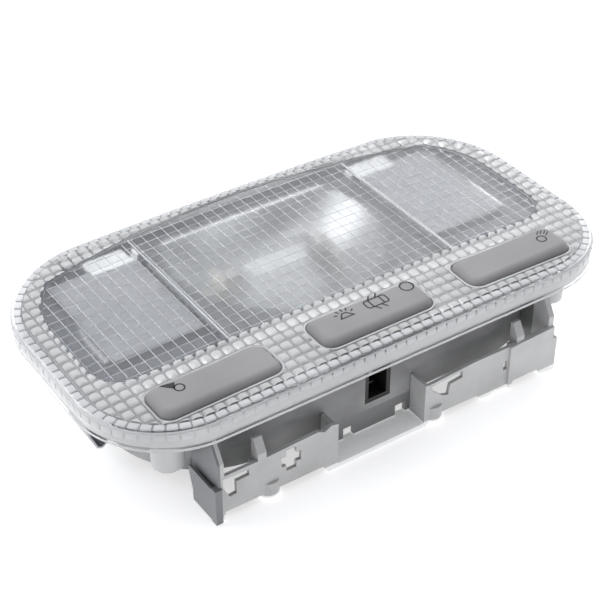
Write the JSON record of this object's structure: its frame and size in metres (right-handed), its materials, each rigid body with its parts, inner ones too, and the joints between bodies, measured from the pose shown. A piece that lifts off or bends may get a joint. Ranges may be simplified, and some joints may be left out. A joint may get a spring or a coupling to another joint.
{
  "type": "car dome light",
  "caption": "Car dome light: clear lens with a beaded border over a grey housing, with a middle courtesy lamp, a map lamp at each end and three keys.",
  "frame": {"origin": "under the middle of the lens, level with the lowest faces of the front frame", "axes": "+X along the length of the lens, -Y towards the keys, +Z towards the cabin, out of the lens face"},
  "size_m": [0.187, 0.1, 0.0439],
  "materials": {
    "lens_clear": "clear moulded plastic, bead border and brick optics",
    "housing_plastic": "light grey, slightly milky moulding",
    "reflector_silver": "silvered plastic",
    "diffuser_frosted": "frosted plate",
    "bulb_glass": "clear bulb glass",
    "bulb_caps": "plated cap",
    "holder_plastic": "off-white moulding",
    "contact_brass": "stamped sheet",
    "key_plastic": "warm grey, fine grain",
    "connector_plastic": "black moulding",
    "pin_tin": "tinned pins",
    "spring_steel": "bent spring strip"
  },
  "bodies": {
    "lamp": {"lens": "lens_clear", "housing": "housing_plastic", "deck_plate": "housing_plastic", "lamp_tray": "housing_plastic", "front_frame": "housing_plastic", "reflector_middle": "reflector_silver", "reflector_left": "reflector_silver", "reflector_right": "reflector_silver", "diffuser_left": "diffuser_frosted", "diffuser_right": "diffuser_frosted", "bulb_middle": "bulb_glass", "bulb_middle_caps": "bulb_caps", "bulb_left": "bulb_glass", "bulb_right": "bulb_glass", "bulb_holder_left": "holder_plastic", "bulb_holder_right": "holder_plastic", "bulb_contact_left": "contact_brass", "bulb_contact_right": "contact_brass", "key_contact_left": "contact_brass", "key_contact_middle": "contact_brass", "key_contact_right": "contact_brass", "strip_common": "contact_brass", "strip_left": "contact_brass", "strip_middle": "contact_brass", "strip_right": "contact_brass", "connector_housing": "connector_plastic", "connector_pins": "pin_tin", "clip_left": "spring_steel", "clip_right": "spring_steel"},
    "key_left_body": {"key_left": "key_plastic"},
    "key_middle_body": {"key_middle": "key_plastic"},
    "key_right_body": {"key_right": "key_plastic"}
  },
  "joints": [
    {"name": "key_left_press", "type": "hinge", "parent": "lamp", "child": "key_left_body", "pos_m": [-0.0432, -0.03495, 0.03838], "axis": [0, -1, 0], "range_deg": [0, 2.5], "stiffness_Nm_per_rad": 1.2},
    {"name": "key_middle_rock", "type": "hinge", "parent": "lamp", "child": "key_middle_body", "pos_m": [-0.0012, -0.03495, 0.0391], "axis": [0, 1, 0], "range_deg": [-4, 4]},
    {"name": "key_right_press", "type": "hinge", "parent": "lamp", "child": "key_right_body", "pos_m": [0.0408, -0.03495, 0.03844], "axis": [0, 1, 0], "range_deg": [0, 2.5], "stiffness_Nm_per_rad": 1.2}
  ]
}
